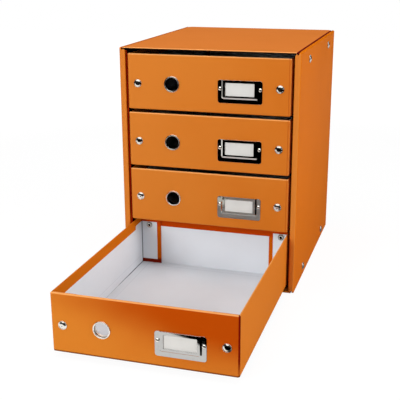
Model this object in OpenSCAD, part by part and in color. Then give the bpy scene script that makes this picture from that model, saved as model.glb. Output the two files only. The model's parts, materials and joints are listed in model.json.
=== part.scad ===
// Desktop mini drawers: a riveted board cabinet with four pull-out board drawers.
// X runs across the front, Y from front to back, Z up. The origin is the middle of the
// cabinet's footprint. The modules draw with the front on y = 0, and placed() centres them.

/* [Cabinet] */
// Width over the side panels
cabinet_w = 240; // [220:1:300]
// Depth over the front strips and the rear flanges
cabinet_d = 292; // [240:1:330]
// Height over the top and bottom panels
cabinet_h = 320; // [280:1:400]
// Thickness of the cabinet's board
board = 2; // [1.5:0.1:2.4]
// Width of the folded strip on each front edge
strip_w = 8; // [7.6:0.1:12]
// How far the strip's inner leg is turned back
return_depth = 9.5; // [6:0.5:14]
// Width of the rear flange that holds the back panel
rear_flange_w = 18; // [12:1:30]
// Radius of the soft folds
fold_r = 2.5; // [1.5:0.1:3]
// Height of the hems and flanges that the snaps join
flange_h = 20; // [20:0.5:28]
// Depth of the cut at the top and bottom panels' back corners
corner_cut = 6; // [2:0.5:10]
// Radius of the fold between a top or bottom panel and its flanges
plate_fold_r = 1.8; // [0.9:0.1:1.9]
// Radius of the side panels' folds along their tops and bottoms
hem_fold_r = 1.4; // [0.9:0.1:1.8]
// Diameter of the relief holes where the folds meet at the front corners
relief_d = 2.4; // [1:0.1:2.8]
// Size of the cuts at the inner corners of the front strips
strip_cut = 2.5; // [1:0.5:3.5]
// Height of the slanted ends of the strips' inner legs
leg_cut = 7; // [2:0.5:12]

/* [Shelves] */
// Thickness of a shelf
shelf_t = 2; // [1.5:0.1:2.6]
// Distance of the shelves' front edges from the cabinet's front
shelf_recess = 10.5; // [10:0.5:40]
// Depth of the upper shelves' folded-down sides
shelf_flange_h = 12; // [8:0.5:20]
// Space between the bottom panel and the lowest shelf
base_gap = 3.8; // [3:0.1:8]
// Extra space over the top drawer
top_gap = 3.4; // [1:0.1:6]

/* [Drawers] */
// Gap between a drawer and the front strips
side_gap = 3.3; // [1.5:0.1:4]
// Gap under a drawer
run_gap = 0.2; // [0.1:0.05:0.5]
// Gap between a drawer's rim and the shelf over it
lift_gap = 2.4; // [1:0.1:5]
// Gap between a closed drawer's rear snaps and the back panel
back_gap = 0.8; // [0.4:0.1:10]
// How far the closed drawers' fronts stand behind the cabinet's front
front_set = 0.4; // [0:0.1:2]
// How far the open lowest drawer's back wall stands behind the cabinet's front
kept_in = 35; // [14:0.5:200]
// Thickness of the drawers' board
drawer_board = 1.8; // [1.4:0.1:2.2]
// Thickness of the lining paper
lining_t = 0.4; // [0.3:0.05:0.6]
// Depth of the cover that is turned in over the rim
hem_h = 14.5; // [8:0.5:24]
// Radius of the corners at a drawer front's rim
front_corner_r = 2; // [2:0.1:5]
// Radius of the corners at a drawer front's foot
front_foot_r = 4; // [2:0.1:6]
// Width of the flaps that close the drawer's corners
flap_w = 28.5; // [24:0.5:34]
// Distance of the flaps' upper edges below the rim
flap_drop = 1; // [0.5:0.1:3]
// Cover left bare of lining along the flaps' free edges
flap_margin = 5.5; // [3:0.5:7]
// Distance of the rear corners' linings below the rim
corner_drop = 9; // [5:0.5:13]
// How far the rear corners' linings reach onto the side walls
corner_lap = 24; // [10:1:40]

/* [Snaps] */
// Diameter of a snap's cap
cap_d = 10.6; // [9:0.1:12.5]
// Height of a snap's cap
cap_h = 2.6; // [1.8:0.1:3.2]
// Diameter of a snap's post
post_d = 4.8; // [3.6:0.1:5.2]
// Wall round the blind hole in the post's end
post_wall = 0.6; // [0.5:0.05:0.9]
// Diameter of a snap's inner ring
socket_d = 8.4; // [7.4:0.1:9.4]
// Thickness of a snap's inner ring
socket_t = 1.6; // [1.2:0.1:2]
// Distance of the drawers' snaps from the inner faces of the side walls
snap_inset = 12; // [8:0.5:14]
// Height of the front snaps over the drawer's base
front_snap_z = 34; // [24:0.5:44]
// Distance of the rear snaps below the drawer's rim
rear_snap_drop = 13.5; // [8:0.5:24]
// Distance of the cabinet's snaps from its top and bottom
side_snap_z = 15.5; // [11:0.5:16.5]
// Distance of the cabinet's snaps from its front and back
side_snap_inset = 65; // [40:1:100]

/* [Finger ring] */
// Outer diameter of the finger ring
ring_d = 21; // [18:0.5:26]
// Width of the ring's rim
ring_rim = 1.7; // [1.2:0.1:2.5]
// How far the ring stands out
ring_h = 1.2; // [0.8:0.1:2]
// Distance of the ring's centre to the left of the drawer's middle
ring_x = 48; // [40:1:56]
// Height of the ring's centre over the drawer's base
ring_z = 34.5; // [28:0.5:42]

/* [Label holder] */
// Width of the label holder's plate
label_w = 58.5; // [52:0.5:64]
// Height of the label holder's plate
label_h = 29.8; // [27:0.1:34]
// Radius of the plate's corners
label_corner_r = 3.2; // [1:0.1:4]
// Thickness of the pressed sheet
sheet = 0.6; // [0.4:0.05:0.8]
// Distance of the plate's middle to the right of the drawer's middle
label_x = 43.2; // [42:0.1:46]
// Height of the plate's lower edge over the drawer's base
label_z = 13.5; // [8:0.5:20]
// Width of the flat ears beside the raised pocket
ear_w = 6.05; // [5.3:0.05:7]
// Height of the flat lip below the pocket
lip_h = 6.4; // [4:0.1:8]
// How far the pocket stands out from the drawer front
pocket_rise = 1.9; // [1.6:0.1:2.6]
// Width of the pocket's rim beside the window
side_rim = 4.2; // [3:0.1:6]
// Width of the pocket's rim below the window
lower_rim = 3.4; // [2:0.1:4]
// Width of the pocket's rim over the window
upper_rim = 3.6; // [2:0.1:5]
// Thickness of the label card
card_t = 0.4; // [0.25:0.05:0.5]
// Clearance round the card's edges
card_gap = 0.3; // [0.2:0.05:0.6]
// Diameter of the label holder's rivets
rivet_d = 4.6; // [3.6:0.1:5]
// Diameter of the rivets' shanks
rivet_shank_d = 2; // [1.4:0.1:2.4]
// Height of the rivets over the plate's lower edge
rivet_z = 18.4; // [12:0.1:22]

/* [Hidden] */
$fn = 64;
DRAWERS = 4;
past = 1;
hole_gap = 0.1;
half_w = cabinet_w / 2;
hem_x = half_w - 2 * board;
flange_x = hem_x - board;
strip_x = half_w - strip_w;
panel_edge_r = 0.9;
side_corner_r = 4;
flange_gap = 2;
end_gap = 0.5;
back_y = cabinet_d - 2 * board;
flange_start = return_depth + flange_gap;
flange_end = back_y - end_gap;
side_snap_ys = [side_snap_inset, cabinet_d - side_snap_inset];
side_snap_zs = [side_snap_z, cabinet_h - side_snap_z];

shelf_step = shelf_t + run_gap + lift_gap;
drawer_w = 2 * (strip_x - side_gap);
drawer_h = (cabinet_h - 2 * board - base_gap - top_gap) / DRAWERS - shelf_step;
drawer_l = back_y - back_gap - cap_h - front_set;
pitch = drawer_h + shelf_step;
lowest_z = board + base_gap + shelf_t + run_gap;
front_t = 2 * drawer_board;
inner_half = drawer_w / 2 - drawer_board;
flap_edge = inner_half - flap_w;
floor_top = drawer_board + lining_t;
rear_face = drawer_l - drawer_board;
open_out = front_set + drawer_l - kept_in;
flap_top = drawer_h - flap_drop;
snap_x = inner_half - snap_inset;
rear_snap_z = drawer_h - rear_snap_drop;
corner_stack = front_t + drawer_board + lining_t;
rear_stack = 2 * drawer_board + lining_t;
lining_top = drawer_h - hem_h;
corner_top = max(lining_top, drawer_h - corner_drop);
finger_r = ring_d / 2 - ring_rim;
barrel_wall = 0.4;
barrel_r = finger_r + barrel_wall;
washer_t = 0.8;
washer_ledge = 0.5;
washer_r = ring_d / 2 + washer_ledge;
label_top = label_z + label_h;
pocket_z = label_z + lip_h;
pocket_w = label_w - 2 * ear_w;
pocket_r = 1.6;
window_z = pocket_z + lower_rim;
rivet_offset = (label_w + pocket_w) / 4;
clinch_t = 0.5;

FIXED = ["cabinet_side_left", "cabinet_side_right", "cabinet_top", "cabinet_bottom", "cabinet_back",
         "shelf_1", "shelf_2", "shelf_3", "shelf_4", "side_snap_caps", "side_snap_sockets"];
PER_DRAWER = ["tray", "lining", "finger_ring", "ring_washer", "snap_caps", "snap_sockets",
              "label_holder", "label_rivets", "label_card"];

COVER = [0.83, 0.45, 0.13];
INNER = [0.16, 0.15, 0.15];
LINING = [0.85, 0.85, 0.88];
STEEL = [0.8, 0.8, 0.8];
CARD = [0.9, 0.89, 0.87];

// Moves what is drawn with its front on y = 0 so that the footprint is centred.
module placed() { translate([0, -cabinet_d / 2, 0]) children(); }

// ---------- outlines ----------

// A rectangle with round corners, its lower left corner at the origin.
module soft_rect(w, h, r) {
    translate([r, 0]) square([w - 2 * r, h]);
    translate([0, r]) square([w, h - 2 * r]);
    for (x = [r, w - r], y = [r, h - r]) translate([x, y]) circle(r);
}

// Extrudes an outline drawn in X and Z along Y, from y0 to y1.
module along_y(y0, y1) {
    translate([0, y1, 0]) rotate([90, 0, 0]) linear_extrude(y1 - y0) children();
}

// Extrudes an outline drawn in Y and Z along X, from x0 to x1.
module along_x(x0, x1) {
    translate([x0, 0, 0]) rotate([90, 0, 90]) linear_extrude(x1 - x0) children();
}

// A board standing on edge, with a round upper edge, drawn as thickness by height.
module round_topped(t, h) {
    square([t, h - t / 2]);
    translate([t / 2, h - t / 2]) circle(d = t);
}

// A slim round hole's cutter along Y.
module bore_y(x, z, d, y0, y1) {
    translate([x, y1, z]) rotate([90, 0, 0]) cylinder(d = d, h = y1 - y0);
}

// ---------- fasteners ----------

// A snap's cap on the plane z = 0, with its post running down through the layers.
module snap_cap(stack) {
    lip_r = 0.5;
    dome_r = (pow(cap_d / 2 - lip_r, 2) + pow(cap_h - lip_r, 2)) / (2 * (cap_h - lip_r));
    post_end = stack + socket_t - 0.2;
    color(STEEL) difference() {
        union() {
            rotate_extrude() {
                square([cap_d / 2 - lip_r, lip_r]);
                translate([cap_d / 2 - lip_r, lip_r]) intersection() {
                    circle(lip_r);
                    translate([-lip_r, -lip_r]) square([2 * lip_r, 2 * lip_r]);
                }
                intersection() {
                    translate([0, cap_h - dome_r]) circle(dome_r);
                    translate([0, lip_r]) square([cap_d / 2, cap_h]);
                }
            }
            translate([0, 0, -post_end]) cylinder(d = post_d, h = post_end + lip_r / 2);
        }
        translate([0, 0, -post_end - past]) cylinder(d = post_d - 2 * post_wall, h = post_end);
    }
}

// A snap's inner ring, standing on the plane z = 0.
module snap_socket() {
    edge_r = socket_t / 2;
    hole_r = post_d / 2 + hole_gap;
    color(STEEL) rotate_extrude() {
        translate([hole_r, 0]) square([socket_d / 2 - edge_r - hole_r, socket_t]);
        translate([socket_d / 2 - edge_r, edge_r]) circle(edge_r);
    }
}

// The places of the four snaps on one side panel, in the side panel's own plane.
module at_side_snaps() {
    for (side = [-1, 1], y = side_snap_ys, z = side_snap_zs)
        translate([side * half_w, y, z]) rotate([0, side * 90, 0]) children();
}

module side_snap_caps() { at_side_snaps() snap_cap(3 * board); }

module side_snap_sockets() {
    at_side_snaps() translate([0, 0, -3 * board]) mirror([0, 0, 1]) snap_socket();
}

// ---------- cabinet ----------

// Seen from above: the wall, the folded front strip and the rear flange.
module side_plan() {
    difference() {
        translate([strip_x, 0]) soft_rect(strip_w, cabinet_d, fold_r);
        translate([strip_x + board, board]) square([strip_w - 2 * board, cabinet_d - 2 * board]);
        translate([strip_x - past, return_depth])
            square([strip_w - board + past, cabinet_d - board - return_depth]);
    }
    translate([half_w - rear_flange_w, cabinet_d - board]) square([rear_flange_w - fold_r, board]);
}

// Seen from the front: the strip stops under the top panel, and the hem stands beside it.
module side_front_view() {
    intersection() {
        soft_rect(half_w, cabinet_h, fold_r);
        union() {
            translate([0, board]) square([half_w, cabinet_h - 2 * board]);
            translate([hem_x, 0]) soft_rect(half_w, cabinet_h, hem_fold_r);
        }
    }
}

// The cuts that free a strip's inner corner and its inner leg from the end panel below it.
module strip_end_cuts() {
    cut = min(strip_cut, hem_x - strip_x);
    translate([0, 0, board]) {
        along_y(-past, return_depth + past) polygon([
            [strip_x - past, -past], [strip_x + cut, -past], [strip_x + cut, 0],
            [strip_x, cut], [strip_x - past, cut]]);
        along_x(strip_x - past, strip_x + board + past) polygon([
            [board, -past], [return_depth + past, -past], [return_depth + past, leg_cut], [board, 0]]);
    }
}

module side_hems() {
    for (z = [0, cabinet_h - flange_h])
        translate([hem_x, return_depth, z]) cube([board + past, flange_end - return_depth, flange_h]);
}

// The right-hand side panel: one board, folded at the front, the back, the top and the bottom.
module side_panel() {
    color(COVER) difference() {
        intersection() {
            union() {
                linear_extrude(cabinet_h) side_plan();
                side_hems();
            }
            along_y(-past, cabinet_d + past) side_front_view();
            along_x(0, cabinet_w) soft_rect(cabinet_d, cabinet_h, side_corner_r);
        }
        for (y = side_snap_ys, z = side_snap_zs)
            translate([hem_x - past, y, z]) rotate([0, 90, 0])
                cylinder(d = post_d + 2 * hole_gap, h = 2 * board + 2 * past);
        for (z = [board, cabinet_h - board]) bore_y(hem_x, z, relief_d, -past, board);
        strip_end_cuts();
        translate([0, 0, cabinet_h]) mirror([0, 0, 1]) strip_end_cuts();
    }
}

module cabinet_side_right() { side_panel(); }

module cabinet_side_left() { mirror([1, 0, 0]) side_panel(); }

// The top and bottom panels: a plate with two flanges that the snaps hold to the hems.
module end_panel() {
    color(COVER) difference() {
        intersection() {
            union() {
                translate([-hem_x, front_set, 0])
                    cube([2 * hem_x, cabinet_d - front_set, board]);
                for (side = [0, 1]) mirror([side, 0, 0])
                    translate([flange_x, flange_start, 0])
                        cube([board, flange_end - flange_start, flange_h]);
            }
            along_y(0, cabinet_d) translate([-hem_x, 0]) soft_rect(2 * hem_x, 2 * flange_h, plate_fold_r);
            along_x(-half_w, half_w) translate([front_set, 0])
                soft_rect(cabinet_d - front_set, 2 * flange_h, panel_edge_r);
            linear_extrude(flange_h + board) polygon([
                [-hem_x, 0], [hem_x, 0], [hem_x, cabinet_d - corner_cut],
                [hem_x - corner_cut, cabinet_d], [corner_cut - hem_x, cabinet_d],
                [-hem_x, cabinet_d - corner_cut]]);
        }
        for (side = [-1, 1], y = side_snap_ys)
            translate([side * (flange_x + board / 2), y, side_snap_z]) rotate([0, 90, 0])
                cylinder(d = post_d + 2 * hole_gap, h = board + 2 * past, center = true);
    }
}

module cabinet_bottom() { end_panel(); }

module cabinet_top() { translate([0, 0, cabinet_h]) mirror([0, 0, 1]) end_panel(); }

module cabinet_back() {
    color(INNER) translate([board - half_w, back_y, board])
        cube([cabinet_w - 2 * board, board, cabinet_h - 2 * board]);
}

// ---------- shelves ----------

function drawer_z(i) = lowest_z + (DRAWERS - i) * pitch;

// A shelf under drawer i. The lowest one stands on the bottom panel, inside its flanges.
module shelf(i) {
    lowest = i == DRAWERS;
    half = lowest ? flange_x : half_w - board;
    depth = lowest ? base_gap : shelf_flange_h;
    color(INNER) translate([0, 0, drawer_z(i) - run_gap - shelf_t]) {
        translate([-half, shelf_recess, 0]) cube([2 * half, back_y - shelf_recess, shelf_t]);
        for (side = [0, 1]) mirror([side, 0, 0])
            translate([half - shelf_t, flange_start, -depth])
                cube([shelf_t, flange_end - flange_start, depth]);
    }
}

// ---------- drawers ----------

// Places a drawer's piece, drawn with its front on y = 0 and its base on z = 0.
module at_drawer(i) {
    out = i == DRAWERS ? open_out : 0;
    placed() translate([0, front_set - out, drawer_z(i)]) children();
}

// Seen from the front: the base and the two side walls.
module channel_outline() {
    base_r = 2;
    translate([-drawer_w / 2, 0]) intersection() {
        soft_rect(drawer_w, drawer_h, base_r);
        union() {
            square([drawer_w, drawer_board]);
            round_topped(drawer_board, drawer_h);
            translate([drawer_w - drawer_board, 0]) round_topped(drawer_board, drawer_h);
        }
    }
}

module flap(y) {
    for (side = [0, 1]) mirror([side, 0, 0])
        along_x(flap_edge, inner_half) translate([y, floor_top])
            round_topped(drawer_board, flap_top - floor_top);
}

// Seen from the side: the double front wall, with a round fold along its rim and its foot.
module front_wall_outline() {
    fold = front_t / 2;
    translate([0, fold]) square([front_t, drawer_h - 2 * fold]);
    translate([fold, 0]) square([fold, fold]);
    for (z = [fold, drawer_h - fold]) translate([fold, z]) circle(fold);
}

// The upper half of a drawer front's outline.
module clipped_half(r) {
    intersection() {
        translate([0, -drawer_h / 2]) soft_rect(drawer_w, drawer_h, r);
        square([drawer_w, drawer_h / 2]);
    }
}

module tray_walls() {
    along_y(front_t / 2, rear_face + drawer_board / 2) channel_outline();
    intersection() {
        along_x(-drawer_w / 2, drawer_w / 2) front_wall_outline();
        along_y(-past, front_t + past) translate([-drawer_w / 2, 0]) {
            translate([0, drawer_h / 2]) clipped_half(front_corner_r);
            translate([0, drawer_h / 2]) mirror([0, 1]) clipped_half(front_foot_r);
        }
    }
    along_x(-drawer_w / 2, drawer_w / 2) translate([rear_face, 0]) round_topped(drawer_board, drawer_h);
}

// The drawer's folded board: base, walls, double front and the flaps that close the corners.
module tray() {
    corner_r = 2.2;
    color(COVER) difference() {
        union() {
            intersection() {
                tray_walls();
                translate([-drawer_w / 2, 0, -past]) linear_extrude(drawer_h + 2 * past)
                    soft_rect(drawer_w, drawer_l, corner_r);
            }
            flap(front_t);
            flap(rear_face - drawer_board);
        }
        bore_y(-ring_x, ring_z, 2 * (barrel_r + hole_gap), -past, front_t + past);
        for (side = [-1, 1]) {
            bore_y(side * snap_x, front_snap_z, post_d + 2 * hole_gap, -past, front_t + drawer_board + past);
            bore_y(side * snap_x, rear_snap_z, post_d + 2 * hole_gap,
                rear_face - drawer_board - past, drawer_l + past);
            bore_y(label_x + side * rivet_offset, label_z + rivet_z, rivet_shank_d + 2 * hole_gap,
                -past, front_t + past);
        }
    }
}

// Seen from the side: the lining of a side wall, which stands higher in the rear corner.
module wall_lining_outline() {
    front_end = front_t + drawer_board;
    rear_end = rear_face - drawer_board;
    lap_r = 3;
    translate([front_end, drawer_board]) square([rear_end - front_end, lining_top - drawer_board]);
    translate([rear_end - corner_lap, corner_top - lap_r]) intersection() {
        translate([0, -drawer_h]) soft_rect(corner_lap + lap_r, drawer_h + lap_r, lap_r);
        translate([0, min(0, lining_top - corner_top) - past]) square([corner_lap, drawer_h]);
    }
}

// Lining sheets on the base, the walls and the flaps. The hem and the flaps' edges stay bare.
module lining() {
    middle_w = 2 * flap_edge;
    flap_face_w = flap_w - flap_margin;
    flap_face_z = floor_top + flap_margin;
    color(LINING) difference() {
        union() {
            translate([-inner_half, front_t, drawer_board])
                cube([2 * inner_half, rear_face - front_t, lining_t]);
            for (side = [0, 1]) mirror([side, 0, 0]) {
                along_x(inner_half - lining_t, inner_half) wall_lining_outline();
                for (y = [front_t + drawer_board, rear_face - drawer_board - lining_t])
                    translate([flap_edge + flap_margin, y, flap_face_z])
                        cube([flap_face_w, lining_t, corner_top - flap_face_z]);
            }
            for (y = [front_t, rear_face - lining_t])
                translate([-flap_edge, y, drawer_board])
                    cube([middle_w, lining_t, lining_top - drawer_board]);
        }
        bore_y(-ring_x, ring_z, 2 * (washer_r + hole_gap), 0, front_t + drawer_board);
        for (side = [-1, 1]) {
            bore_y(side * snap_x, front_snap_z, post_d + 2 * hole_gap, 0, corner_stack + past);
            bore_y(side * snap_x, rear_snap_z, post_d + 2 * hole_gap, drawer_l - corner_stack - past, drawer_l);
            bore_y(label_x + side * rivet_offset, label_z + rivet_z, rivet_shank_d + 2 * hole_gap,
                0, front_t + drawer_board);
        }
    }
}

// Turns a fastener drawn upright so that it stands out of the drawer's front.
module out_of_front() { rotate([90, 0, 0]) children(); }

module snap_caps() {
    for (x = [-snap_x, snap_x]) {
        translate([x, 0, front_snap_z]) out_of_front() snap_cap(corner_stack);
        translate([x, drawer_l, rear_snap_z]) rotate([180, 0, 0]) out_of_front() snap_cap(rear_stack);
    }
}

module snap_sockets() {
    for (x = [-snap_x, snap_x]) {
        translate([x, corner_stack, front_snap_z]) rotate([180, 0, 0]) out_of_front() snap_socket();
        translate([x, drawer_l - rear_stack, rear_snap_z]) out_of_front() snap_socket();
    }
}

// The ring's rim on the front, and its barrel, which is rolled over the washer inside.
module finger_ring() {
    barrel_l = front_t + washer_t + barrel_wall;
    edge_r = ring_h / 2;
    color(STEEL) translate([-ring_x, 0, ring_z]) out_of_front() rotate_extrude() {
        translate([finger_r, 0]) square([ring_rim - edge_r, edge_r]);
        translate([finger_r + edge_r, edge_r]) circle(edge_r);
        translate([ring_d / 2 - edge_r, edge_r]) circle(edge_r);
        translate([finger_r + edge_r, 0]) square([ring_rim - 2 * edge_r, ring_h]);
        translate([finger_r, -barrel_l]) square([barrel_wall, barrel_l + edge_r]);
        translate([finger_r, -barrel_l]) square([2 * barrel_wall, barrel_wall]);
    }
}

module ring_washer() {
    hole_r = barrel_r + hole_gap;
    color(STEEL) translate([-ring_x, front_t + washer_t, ring_z]) out_of_front() difference() {
        cylinder(r = washer_r, h = washer_t);
        translate([0, 0, -past]) cylinder(r = hole_r, h = washer_t + 2 * past);
    }
}

// A pressed plate with a raised pocket, open at the top, and a window over the card.
module label_holder() {
    pocket_h = label_top - pocket_z;
    inner_w = pocket_w - 2 * sheet;
    window_w = pocket_w - 2 * side_rim;
    color(STEEL) difference() {
        union() {
            along_y(-sheet, 0) translate([label_x - label_w / 2, label_z])
                soft_rect(label_w, label_h, label_corner_r);
            along_y(-pocket_rise, 0) intersection() {
                translate([label_x - pocket_w / 2, pocket_z])
                    soft_rect(pocket_w, pocket_h + 2 * pocket_r, pocket_r);
                translate([label_x - pocket_w / 2, pocket_z]) square([pocket_w, pocket_h]);
            }
        }
        along_y(sheet - pocket_rise, past) translate([label_x - inner_w / 2, pocket_z + sheet])
            soft_rect(inner_w, pocket_h + past, pocket_r - sheet);
        along_y(-pocket_rise - past, past) translate([label_x - window_w / 2, window_z])
            soft_rect(window_w, label_top - upper_rim - window_z, sheet);
        for (side = [-1, 1])
            bore_y(label_x + side * rivet_offset, label_z + rivet_z, rivet_shank_d + 2 * hole_gap, -past - sheet, past);
    }
}

module label_card() {
    card_w = pocket_w - 2 * sheet - 2 * card_gap;
    card_z = pocket_z + sheet + card_gap;
    card_back = (pocket_rise - sheet - card_t) / 2;
    color(CARD) translate([label_x - card_w / 2, -card_back - card_t, card_z])
        cube([card_w, card_t, label_top - card_z - card_gap]);
}

// Two round-headed rivets, clinched over the lining inside.
module label_rivets() {
    head_h = 1.3;
    head_r = (pow(rivet_d / 2, 2) + pow(head_h, 2)) / (2 * head_h);
    shank_l = sheet + front_t + lining_t + clinch_t;
    color(STEEL) for (side = [-1, 1])
        translate([label_x + side * rivet_offset, -sheet, label_z + rivet_z]) out_of_front() {
            rotate_extrude() intersection() {
                translate([0, head_h - head_r]) circle(head_r);
                square([rivet_d / 2, head_h]);
            }
            translate([0, 0, -shank_l]) cylinder(d = rivet_shank_d, h = shank_l + head_h / 2);
            translate([0, 0, -shank_l]) cylinder(d = rivet_shank_d + 2 * clinch_t, h = clinch_t);
        }
}

// ---------- the assembly ----------

placed() cabinet_side_left();
placed() cabinet_side_right();
placed() cabinet_top();
placed() cabinet_bottom();
placed() cabinet_back();
placed() side_snap_caps();
placed() side_snap_sockets();

for (i = [1:DRAWERS]) {
    placed() shelf(i);
    at_drawer(i) tray();
    at_drawer(i) lining();
    at_drawer(i) finger_ring();
    at_drawer(i) ring_washer();
    at_drawer(i) snap_caps();
    at_drawer(i) snap_sockets();
    at_drawer(i) label_holder();
    at_drawer(i) label_rivets();
    at_drawer(i) label_card();
}
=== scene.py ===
# %% [markdown]
# # Desktop mini drawers, dressed for the camera
#
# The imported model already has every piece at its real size: a folded cabinet, four
# drawers, their linings, snaps, finger rings and label holders. This file loads that
# frame and keeps all its pieces but the label holders, which it builds again with a
# sloping wall and softened edges. Then it gives each piece its finish, and sets up the
# camera, the floor and the light.

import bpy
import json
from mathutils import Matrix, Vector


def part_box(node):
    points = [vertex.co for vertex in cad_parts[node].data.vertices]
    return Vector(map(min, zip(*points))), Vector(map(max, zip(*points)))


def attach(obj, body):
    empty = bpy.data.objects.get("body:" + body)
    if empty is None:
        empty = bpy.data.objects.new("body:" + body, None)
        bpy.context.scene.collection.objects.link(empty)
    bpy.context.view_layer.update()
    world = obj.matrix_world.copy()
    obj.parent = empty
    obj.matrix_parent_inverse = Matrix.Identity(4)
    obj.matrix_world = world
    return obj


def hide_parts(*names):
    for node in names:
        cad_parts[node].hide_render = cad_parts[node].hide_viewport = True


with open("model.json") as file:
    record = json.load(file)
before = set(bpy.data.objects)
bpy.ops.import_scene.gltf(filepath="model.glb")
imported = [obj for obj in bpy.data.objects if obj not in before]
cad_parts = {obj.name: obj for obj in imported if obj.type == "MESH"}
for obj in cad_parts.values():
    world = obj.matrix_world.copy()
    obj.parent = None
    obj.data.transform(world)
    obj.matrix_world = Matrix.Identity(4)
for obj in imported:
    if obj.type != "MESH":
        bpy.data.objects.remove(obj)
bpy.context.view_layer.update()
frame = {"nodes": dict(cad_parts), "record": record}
nodes = frame["nodes"]

# %% [markdown]
# ## Units and small helpers
#
# A box maker's drawings are in millimetres and Blender works in metres. Every size of
# the drawers below is written in millimetres, and MM turns it into metres where it
# enters a mesh.

# %% Helpers
import json
import math
from functools import partial

import bmesh
import bpy
from mathutils import Matrix, Vector

MM = 0.001
DRAWERS = (1, 2, 3, 4)
DRAWN_OUT = 4


def link(thing):
    """Puts a new object into the scene."""
    bpy.context.scene.collection.objects.link(thing)
    return thing


print("drawers", DRAWERS, "with number", DRAWN_OUT, "drawn out")

# %% [markdown]
# ## The camera
#
# A camera has a place, a direction and a focal length. The direction is written as a
# heading and a tilt, as on a tripod head, with the small roll that a hand-set head keeps.
# Standing close with a wide view makes the cabinet's uprights run together downwards.
# The focal length is in pixels of the picture, which the sensor's width turns into the
# millimetres that Blender asks for.

# %% Camera
CAMERA_PLACE = Vector((290.0, -1130.0, 442.9)) * MM
CAMERA_HEADING = math.radians(16.97)
CAMERA_TILT = math.radians(17.40)
CAMERA_ROLL = math.radians(-0.27)
FOCAL_PIXELS = 805.3
IMAGE_PIXELS = 400
SENSOR_WIDTH = 36
NEAREST, FURTHEST = 0.05, 50

camera = link(bpy.data.objects.new("camera", bpy.data.cameras.new("camera")))
camera.matrix_world = (
    Matrix.Translation(CAMERA_PLACE)
    @ Matrix.Rotation(CAMERA_HEADING, 4, "Z")
    @ Matrix.Rotation(math.radians(90) - CAMERA_TILT, 4, "X")
    @ Matrix.Rotation(CAMERA_ROLL, 4, "Z")
)
camera.data.sensor_width = SENSOR_WIDTH
camera.data.lens = FOCAL_PIXELS * SENSOR_WIDTH / IMAGE_PIXELS
camera.data.clip_start = NEAREST
camera.data.clip_end = FURTHEST
bpy.context.scene.camera = camera
bpy.context.scene.view_settings.view_transform = "Standard"
print("camera lens", round(camera.data.lens, 1), "mm")

# %% [markdown]
# ## Shader maths in Python
#
# A material is a little program drawn as nodes. Writing it as Python expressions keeps
# it readable: `1 - mask * 0.4` adds a Multiply and a Subtract node. The class Wire wraps
# one output and overloads the operators, with the reflected forms for a number on the
# left.
#
# Most of what follows is masks: values between 0 and 1 that say where on a piece a
# colour goes. `over` and `under` split a piece at an edge, `near` draws a line along a
# place, and `most` joins two masks. Where a name below stands for four numbers in
# brackets, they are a step: where it starts and ends, and its values there.

# %% Wire


def pick(sockets, key):
    """A socket by its number, its name or its identifier."""
    if isinstance(key, int):
        return sockets[key]
    return next(s for s in sockets if key in (s.identifier, s.name))


class Wire:
    """One output of a node, on which + - * and ** add Math nodes."""

    def __init__(self, finish, socket):
        self.finish = finish
        self.socket = socket

    def of(self, key):
        """Another output of the same node."""
        return Wire(self.finish, pick(self.socket.node.outputs, key))

    def maths(self, operation, *terms):
        return self.finish.node("Math", dict(enumerate(terms)), operation=operation)

    def __add__(self, other):
        return self.maths("ADD", self, other)

    def __sub__(self, other):
        return self.maths("SUBTRACT", self, other)

    def __rsub__(self, other):
        return self.maths("SUBTRACT", other, self)

    def __mul__(self, other):
        return self.maths("MULTIPLY", self, other)

    def __pow__(self, other):
        return self.maths("POWER", self, other)

    __radd__ = __add__
    __rmul__ = __mul__

    def size(self):
        """The value without its sign."""
        return self.maths("ABSOLUTE", self)

    def most(self, other):
        return self.maths("MAXIMUM", self, other)

    def least(self, other):
        return self.maths("MINIMUM", self, other)

    def step(self, low, high, start=0.0, end=1.0):
        """Runs smoothly from start to end while this value goes from low to high."""
        return self.finish.node(
            "MapRange",
            {"Value": self, "From Min": low, "From Max": high, "To Min": start, "To Max": end},
            interpolation_type="SMOOTHSTEP",
        )

    def over(self, edge, soft):
        """0 below an edge and 1 above it. The change takes soft millimetres to each side."""
        return self.step(edge - soft, edge + soft)

    def under(self, edge, soft):
        """1 below an edge and 0 above it."""
        return self.step(edge - soft, edge + soft, 1.0, 0.0)

    def near(self, place, core, fade):
        """1 up to core millimetres from a place, and 0 from fade millimetres on."""
        return (self - place).size().step(core, fade, 1.0, 0.0)


print("operators of", Wire.__name__, "ready")

# %% [markdown]
# ## Materials as objects
#
# The class Finish holds one material's node tree. Everything that isn't plain maths
# comes from its method node(), which adds a node by its type, fills in its inputs and
# hands back one output. The other methods are the few nodes that every finish here
# uses: the place on the piece, cloudy noise, a mix of two colours, a bump, and the
# Principled surface at the end.

# %% Finish


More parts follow.
